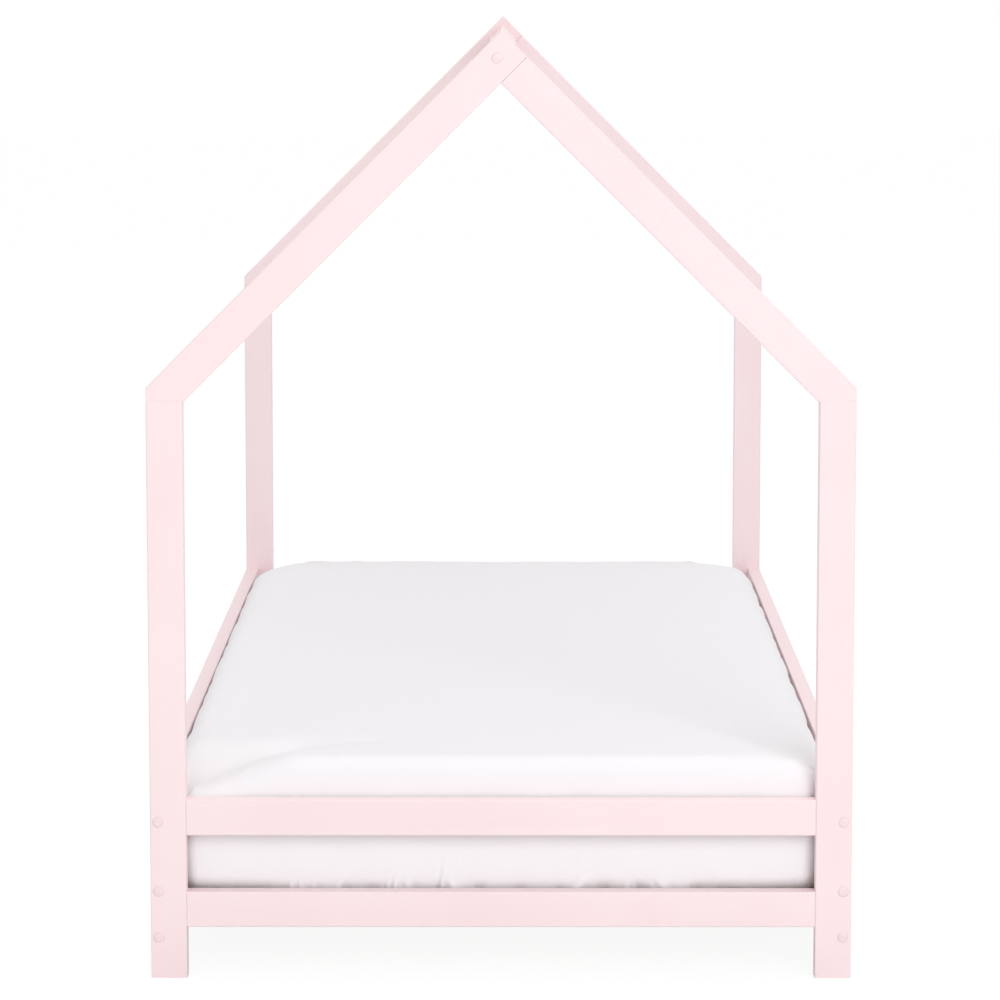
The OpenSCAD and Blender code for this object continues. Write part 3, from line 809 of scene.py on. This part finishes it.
def edge_walk(half_w, half_l, across, along, splits=(1, 1, 1, 1)):
    """Square-cornered walk round the edge, from the front left corner to the right."""
    front, right, rear, left = splits
    walk = [(x, -half_l) for x in np.linspace(-half_w, half_w, across * front + 1)[:-1]]
    walk += [(half_w, y) for y in np.linspace(-half_l, half_l, along * right + 1)[:-1]]
    walk += [(x, half_l) for x in np.linspace(half_w, -half_w, across * rear + 1)[:-1]]
    walk += [(-half_w, y) for y in np.linspace(half_l, -half_l, along * left + 1)[:-1]]
    return np.array(walk)


def side_profile(height, step):
    """Inset and drop of each ring down the side, below the flat top and above the flat base."""
    rings = []
    for i in range(1, EDGE_RINGS + 1):
        angle = math.pi / 2 * i / EDGE_RINGS
        rings.append((TOP_EDGE * (1 - math.sin(angle)), TOP_EDGE * (1 - math.cos(angle))))
    band_top = height - BASE_EDGE - HEM_BAND
    upper = np.linspace(TOP_EDGE, band_top, round((band_top - TOP_EDGE) / step) + 1)
    lower = np.linspace(band_top, height - BASE_EDGE, round(HEM_BAND / HEM_BAND_STEP) + 1)
    rings += [(0.0, drop) for drop in (*upper[1:], *lower[1:-1])]
    for i in range(EDGE_RINGS + 1):
        angle = math.pi / 2 * i / EDGE_RINGS
        rings.append((BASE_EDGE * (1 - math.cos(angle)), height - BASE_EDGE + BASE_EDGE * math.sin(angle)))
    return rings


def smooth_step(value, gain=1, loss=0):
    value = np.clip(value * gain - loss, 0, 1)
    return value * value * (3 - 2 * value)


class SoftBlock:
    """A block with soft edges: a top grid, rings down its sides, and a base or a turned-in hem."""

    def __init__(self, low, high, step, splits=(1, 1, 1, 1), hem=None):
        self.low = low
        self.top = high.z - CROWN
        self.height = self.top - low.z
        self.half_w = high.x - SIDE_ROOM
        self.half_l = high.y
        self.hem = hem
        self.points = []
        self.faces = []
        across = round(2 * self.half_w / step)
        along = round(2 * self.half_l / step)
        self.splits = np.repeat(splits, (across, along, across, along))
        self.grid = (self.half_w - TOP_EDGE, self.half_l - TOP_EDGE, across, along, CORNER - TOP_EDGE)
        walk = edge_walk(*self.grid[:4], splits)
        edge = plan_place(walk[:, 0], walk[:, 1], self.grid[0], self.grid[1], self.grid[4])
        upper = self.add_grid(self.top, upward=True)
        rings = side_profile(self.height, step)
        for number, (inset, drop) in enumerate(rings):
            lower = self.add_ring(edge, TOP_EDGE - inset, self.top - drop)
            make_faces = self.join if number else self.fan
            make_faces(upper, lower)
            upper = lower
        if hem:
            self.turn_in(upper, walk, step)
        else:
            self.join(upper, self.add_grid(low.z, upward=False))

    def add_points(self, x, y, z):
        start = len(self.points)
        self.points += list(zip(x, y, np.broadcast_to(z, x.shape)))
        return list(range(start, len(self.points)))

    def add_grid(self, z, upward):
        half_w, half_l, across, along, corner = self.grid
        columns = np.linspace(-half_w, half_w, across + 1)
        rows = np.linspace(-half_l, half_l, along + 1)
        xs, ys = np.meshgrid(columns, rows)
        x, y, _, _ = plan_place(xs.ravel(), ys.ravel(), half_w, half_l, corner)
        index = np.array(self.add_points(x, y, z)).reshape(along + 1, across + 1)
        for j in range(along):
            for i in range(across):
                face = (index[j, i], index[j, i + 1], index[j + 1, i + 1], index[j + 1, i])
                self.faces.append(face if upward else face[::-1])
        edge = (index[0, :-1], index[:-1, -1], index[-1, :0:-1], index[:0:-1, 0])
        return list(np.concatenate(edge))

    def add_ring(self, edge, out, z):
        x, y, out_x, out_y = edge
        return self.add_points(x + out_x * out, y + out_y * out, z)

    def join(self, upper, lower):
        """Faces between two rings of as many points."""
        for i in range(len(upper)):
            j = (i + 1) % len(upper)
            self.faces.append((upper[i], lower[i], lower[j], upper[j]))

    def fan(self, upper, lower):
        """Faces between the top grid's edge and the first ring, which may be split finer."""
        start = 0
        for i, split in enumerate(self.splits):
            above = (upper[i], upper[(i + 1) % len(upper)])
            below = [lower[(start + k) % len(lower)] for k in range(split + 1)]
            start += split
            if split == 1:
                self.faces.append((above[0], below[0], below[1], above[1]))
                continue
            half = (split + 1) // 2
            self.faces += [(above[0], below[k], below[k + 1]) for k in range(half)]
            self.faces.append((above[0], below[half], above[1]))
            self.faces += [(above[1], below[k], below[k + 1]) for k in range(half, split)]

    def turn_in(self, upper, walk, step):
        """The hem under the block, cutting across the corners as elastic does."""
        half_w = self.half_w - self.hem
        half_l = self.half_l - self.hem
        along_x = walk[:, 0] * half_w / self.grid[0]
        along_y = walk[:, 1] * half_l / self.grid[1]
        x, y, _, _ = plan_place(along_x, along_y, half_w, half_l, HEM_CORNER)
        start = np.array([self.points[i] for i in upper])
        count = round((self.hem - BASE_EDGE) / step * HEM_FINENESS)
        for k in range(1, count + 1):
            share = k / count
            ring_x = start[:, 0] * (1 - share) + x * share
            ring_y = start[:, 1] * (1 - share) + y * share
            lower = self.add_points(ring_x, ring_y, self.low.z)
            self.join(upper, lower)
            upper = lower


def settle(points, block):
    """Gives the block its crown, leaning sides, waist, soft corners, hollows and wavy base edge."""
    x, y, z = points.T.copy()
    wall = np.clip((z - block.low.z - BASE_EDGE) / (block.height - TOP_EDGE - BASE_EDGE), 0, 1)
    far_x = np.clip(np.abs(x) / block.half_w, 0, 1)
    far_y = np.clip(np.abs(y) / block.half_l, 0, 1)
    raised = smooth_step((z - block.top + TOP_EDGE) / TOP_EDGE)
    upper_height = (1 - UPPER_FROM) * block.height
    upper = smooth_step((z - block.low.z - UPPER_FROM * block.height) / upper_height)
    z += CROWN * upper * (1 - far_x ** CROWN_POWER)
    x *= 1 + SIDE_LEAN * np.sin(math.pi / 2 * wall) / block.half_w
    x -= np.sign(x) * WAIST * far_x ** WAIST_POWER * (1 - far_y ** 2) * (1 - upper)
    y -= np.sign(y) * WAIST * far_y ** WAIST_POWER * (1 - far_x ** 2) * (1 - upper)
    dips = swells(y, np.sign(x) * SIDES_APART, SIDE_DIPS)
    x += SIDE_SHIFT - np.sign(x) * SIDE_DIP * far_x ** DIP_POWER * dips
    for centre, spread, depth in SINKS:
        reach = np.hypot((x - centre[0]) / spread[0], (y - centre[1]) / spread[1])
        z -= depth * upper * np.clip(1 - reach ** 2, 0, 1) ** 2
    start, end, drop = HEAD_SLOPE
    z -= drop * upper * smooth_step((y - start) / (end - start))
    for first, last, half, depth in HOLLOWS:
        near = distance_to_line(x, y, first, last) / half
        z -= depth * raised * np.exp(-near ** 2)
    low_edge = np.clip(HEM_LIFT_END - (z - block.low.z) / HEM_LIFT_REACH, 0, 1)
    low_edge *= np.exp(-(((y + block.half_l) / HEM_LIFT_REACH) ** 2))
    z += low_edge * np.interp(x, *zip(*HEM_LINE))
    return np.stack([x, y, z], axis=1)


def distance_to_line(x, y, start, end):
    dx, dy = end[0] - start[0], end[1] - start[1]
    share = np.clip(((x - start[0]) * dx + (y - start[1]) * dy) / (dx * dx + dy * dy), 0, 1)
    return np.hypot(x - start[0] - share * dx, y - start[1] - share * dy)


def swells(s, t, pattern):
    """Smooth unevenness along s that changes slowly with t, from 0 to 1."""
    seed, pitches, lift = pattern
    draw = np.random.default_rng(seed)
    total = np.zeros_like(s)
    for pitch in pitches:
        phase = draw.uniform(0, 2 * math.pi)
        slant = draw.uniform(-SWELL_SLANT, SWELL_SLANT)
        total += np.sin(2 * math.pi * (s + slant * t) / pitch + phase)
    return np.clip(total / len(pitches) + lift, 0, 1)


def pull_sheet(points, normals, block):
    """Moves the sheet out into puckers and swells over its hem, soft side folds and corner pleats."""
    x, y, z = points.T
    out_x, out_y, _ = normals.T
    rise = z - block.low.z
    side = np.clip(np.hypot(out_x, out_y), 0, 1)
    on_front = smooth_step(np.abs(out_y), *FRONT_BORDER) * (out_y < 0)
    run = np.where(np.abs(out_y) > np.abs(out_x), x, y)
    out = np.zeros_like(x)
    above = np.clip(rise - PUCKER_FOOT, 0, None)
    for centre, half, height, depth, slant in PUCKERS:
        across = (x - centre - slant * above) / half
        groove = np.exp(-(((across + GROOVE_PLACE) / GROOVE_WIDTH) ** 2))
        ridge = np.exp(-across ** 2) - GROOVE_DEPTH * groove
        out += on_front * depth * ridge * np.exp(-((above / height) ** 2))
    hem_swells = swells(run, rise, HEM_SWELLS)
    hem_fade = np.exp(-((rise / HEM_SWELL_REACH) ** 2))
    out += HEM_SWELL * side * hem_swells * hem_fade * (1 - HEM_SWELL_LESS * on_front)
    folds = swells(run, rise * SIDE_FOLD_DRIFT, SIDE_FOLDS)
    out += SIDE_FOLD * side * folds * smooth_step(rise / SIDE_FOLD_FULL)
    corner = np.clip(np.minimum(np.abs(out_x), np.abs(out_y)) * CORNER_GAIN, 0, 1)
    angle = np.arctan2(np.abs(out_y), np.abs(out_x))
    pleats = (0.5 + 0.5 * np.cos(angle * PLEATS_ROUND)) ** 2
    out += PLEAT_DEPTH * corner * pleats * smooth_step((PLEAT_TOP - rise) / PLEAT_FADE) * side
    return points + normals * out[:, None]


def keep_within(points, low, high):
    return np.clip(points, np.array(low), np.array(high))


def vertex_normals(piece):
    normals = np.empty(len(piece.data.vertices) * 3)
    piece.data.vertices.foreach_get("normal", normals)
    return normals.reshape(-1, 3)


def place_vertices(piece, points):
    piece.data.vertices.foreach_set("co", points.ravel())
    piece.data.update()


def share_weights(piece, name, weights):
    """A vertex group with one weight for each point."""
    group = piece.vertex_groups.new(name=name)
    for index, weight in enumerate(weights):
        group.add([index], float(weight), "REPLACE")


def pull_tight(low, high, mattress, material):
    """Lets a coarse sheet with an elastic hem settle on the mattress. Gives its start and its moves."""
    block = SoftBlock(low, high, CLOTH_STEP, hem=HEM)
    start = settle(np.array(block.points), block)
    cloth = new_piece("coarse_sheet", start, block.faces, material)
    rise = start[:, 2] - low.z
    inward = np.minimum(block.half_w - np.abs(start[:, 0]), block.half_l - np.abs(start[:, 1]))
    on_top = rise > block.height - TOP_EDGE
    held = on_top * smooth_step((inward - TOP_EDGE) / (TOP_HELD - TOP_EDGE))
    under = (rise < UNDERSIDE) * np.clip(inward / block.hem, 0, 1) ** 2
    neutral = CLOTH_SLACK / (CLOTH_SLACK + ELASTIC_DRAW)
    taut = np.where(on_top, neutral, under)
    share_weights(cloth, "held", held)
    share_weights(cloth, "taut", taut)
    mattress.modifiers.new("body", "COLLISION")
    mattress.collision.thickness_outer = 0.8 * MM
    mattress.collision.cloth_friction = 12
    fabric = cloth.modifiers.new("cloth", "CLOTH")
    settings = fabric.settings
    settings.quality = 6
    settings.mass = 0.2
    settings.air_damping = 2
    settings.tension_stiffness = 20
    settings.compression_stiffness = 8
    settings.shear_stiffness = 6
    settings.bending_stiffness = 0.08
    settings.vertex_group_mass = "held"
    settings.vertex_group_shrink = "taut"
    settings.shrink_min = -CLOTH_SLACK
    settings.shrink_max = ELASTIC_DRAW
    settings.effector_weights.gravity = 0
    fabric.collision_settings.distance_min = 1.0 * MM
    fabric.collision_settings.collision_quality = 3
    fabric.point_cache.frame_start = 1
    fabric.point_cache.frame_end = CLOTH_FRAMES
    scene = bpy.context.scene
    for number in range(1, CLOTH_FRAMES + 1):
        scene.frame_set(number)
    seen = cloth.evaluated_get(bpy.context.evaluated_depsgraph_get())
    end = np.empty(len(start) * 3)
    seen.data.vertices.foreach_get("co", end)
    bpy.data.objects.remove(cloth)
    mattress.modifiers.clear()
    scene.frame_set(1)
    return start, end.reshape(-1, 3) - start


def borrow_moves(points, start, moves):
    """Each point moves as the nearest coarse points did."""
    tree = KDTree(len(start))
    for index, point in enumerate(start):
        tree.insert(point, index)
    tree.balance()
    borrowed = np.empty_like(points)
    for index, point in enumerate(points):
        near = tree.find_n(point, CLOTH_NEAR)
        weights = np.array([1 / (distance + MM) ** 2 for _, _, distance in near])
        chosen = moves[[number for _, number, _ in near]]
        borrowed[index] = (chosen * weights[:, None]).sum(axis=0) / weights.sum()
    return borrowed


def make_mattress(material):
    """The bare mattress, a hair inside the sheet."""
    low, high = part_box("mattress")
    block = SoftBlock(low, high, MATTRESS_STEP)
    piece = new_piece("mattress_cover", block.points, block.faces, material)
    points = settle(np.array(block.points), block)
    place_vertices(piece, keep_within(points, low, high))
    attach(piece, "mattress")
    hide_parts("mattress")
    return piece


def make_sheet(material, mattress):
    """The fitted sheet: stretched over the mattress, with an elastic hem turned in under it."""
    low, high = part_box("fitted_sheet")
    block = SoftBlock(low, high, SHEET_STEP, SHEET_SPLITS, HEM)
    piece = new_piece("white_fitted_sheet", block.points, block.faces, material)
    place_vertices(piece, settle(np.array(block.points), block))
    points = np.array([v.co[:] for v in piece.data.vertices])
    normals = vertex_normals(piece)
    moves = borrow_moves(points, *pull_tight(low, high, mattress, material))
    outward = (moves * normals).sum(axis=1)
    folds = np.clip(outward, 0, FOLD_LIMIT)
    high_up = smooth_step((points[:, 2] - low.z) / block.height, *RAIL_BORDER)
    folds *= 1 - (1 - FOLD_BESIDE_RAIL) * high_up * np.abs(normals[:, 0])
    folds *= 1 - (1 - FOLD_AT_FOOT) * np.clip(-normals[:, 1], 0, 1)
    points += normals * folds[:, None]
    place_vertices(piece, points)
    points = pull_sheet(points, vertex_normals(piece), block)
    room = Vector(SHEET_PROUD)
    place_vertices(piece, keep_within(points, low - room, high + room))
    wall = piece.modifiers.new("wall", "SOLIDIFY")
    wall.thickness = SHEET_THICK
    wall.offset = -1
    apply_modifiers(piece)
    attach(piece, "mattress")
    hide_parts("fitted_sheet")
    height = block.height
    width = 2 * high.x + 2 * (height + HEM)
    length = 2 * high.y + 2 * (height + HEM)
    cut_out = 4 * (height + HEM) ** 2
    width * length - cut_out


# Dressing the frame


def dress(material, *names):
    """Gives CAD nodes their finish."""
    for name in names:
        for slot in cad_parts[name].material_slots:
            slot.material = material


def dress_frame(pine, dowel_beech, bolt_zinc):
    posts = [f"{end}_{side}_post" for end in ENDS for side in SIDES]
    end_rails = [f"{end}_{level}_rail" for end in ENDS for level in LEVELS]
    lengthwise = ["ridge_beam", "left_ledger", "right_ledger"]
    lengthwise += [f"{side}_{level}_side_rail" for side in SIDES for level in LEVELS]
    dowels = [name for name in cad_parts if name.endswith("_dowels")]
    dress(painted_timber("pink_paint_upright", "Z"), *posts)
    for side, lean in (("left", 45), ("right", -45)):
        slope = painted_timber(f"pink_paint_{side}_slope", "X", lean)
        dress(slope, *[f"{end}_{side}_rafter" for end in ENDS])
    dress(painted_timber("pink_paint_across", "X"), *end_rails)
    # The lengthwise timbers' pink is deepened by painted shade
    dress(painted_timber("pink_paint_lengthwise", "Y", painted_shade=0.6), *lengthwise)
    dress(pine, *SLATS)
    dress(dowel_beech, *dowels)
    dress(bolt_zinc, "front_bolts", "rear_bolts", "barrel_nuts")


def fastener_places(node, axis, proud=0.0, inward=False):
    """Where each fastener meets the timber's face, and the way that it faces along the axis."""
    places = []
    for low, high in solid_boxes(node):
        place = (low + high) / 2
        facing = np.zeros(3)
        facing[axis] = -np.sign(place[axis]) if inward else np.sign(place[axis])
        place[axis] = low[axis] + proud if facing[axis] < 0 else high[axis] - proud
        places.append((place, facing))
    return places


def fit_fasteners(shaded_cap_pink, screw_yellow):
    tree = fastener_tree()
    cap = cap_shape(shaded_cap_pink)
    slat_low, slat_high = solid_boxes("slat_screws")[0]
    ledger_low, ledger_high = solid_boxes("ledger_screws")[0]
    slat_screw = screw_shape("slat_screw_shape", float(slat_high[2] - slat_low[2]), screw_yellow)
    ledger_screw = screw_shape("ledger_screw_shape", float(ledger_high[0] - ledger_low[0]), screw_yellow)
    front = fastener_places("front_bolt_caps", 1, CAP_PROUD)
    rear = fastener_places("rear_bolt_caps", 1, CAP_PROUD)
    upright = fastener_places("slat_screws", 2)
    level = fastener_places("ledger_screws", 0, inward=True)
    sets = [
        ("front_cover_caps", "front_bolt_caps", "cap_plastic", cap, 0, front),
        ("rear_cover_caps", "rear_bolt_caps", "cap_plastic", cap, 0, rear),
        ("slat_wood_screws", "slat_screws", "screw_steel", slat_screw, SCREW_TURN, upright),
        ("ledger_wood_screws", "ledger_screws", "screw_steel", ledger_screw, SCREW_TURN, level),
    ]
    for seed, (name, node, slot, shape, turn, places) in enumerate(sets):
        piece = set_fasteners(name, tree, shape, turn, places, seed)
        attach(piece, "frame")
        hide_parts(node)
    for shape in (cap, slat_screw, ledger_screw):
        bpy.data.objects.remove(shape)


# The build

set_camera()
light_room()
lay_floor()
slat_low, slat_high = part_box(SLATS[0])
slat_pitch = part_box(SLATS[1])[0].y - slat_low.y
between = slat_pitch - (slat_high.y - slat_low.y)
pine = bare_pine("bare_pine", slat_pitch, slat_low.y - between / 2)
dress_frame(pine, turned_beech("beech_dowel"), plated_steel("zinc_plate", ZINC, ZINC_DULL))
fit_fasteners(cap_plastic("cap_pink_plastic"), plated_steel("yellow_passivate", BRASSED, BRASSED_DULL))
mattress = make_mattress(ticking("mattress_ticking"))
sheet_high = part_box("fitted_sheet")[1]
make_sheet(cotton("white_cotton", sheet_high.x - SIDE_ROOM, sheet_high.y), mattress)
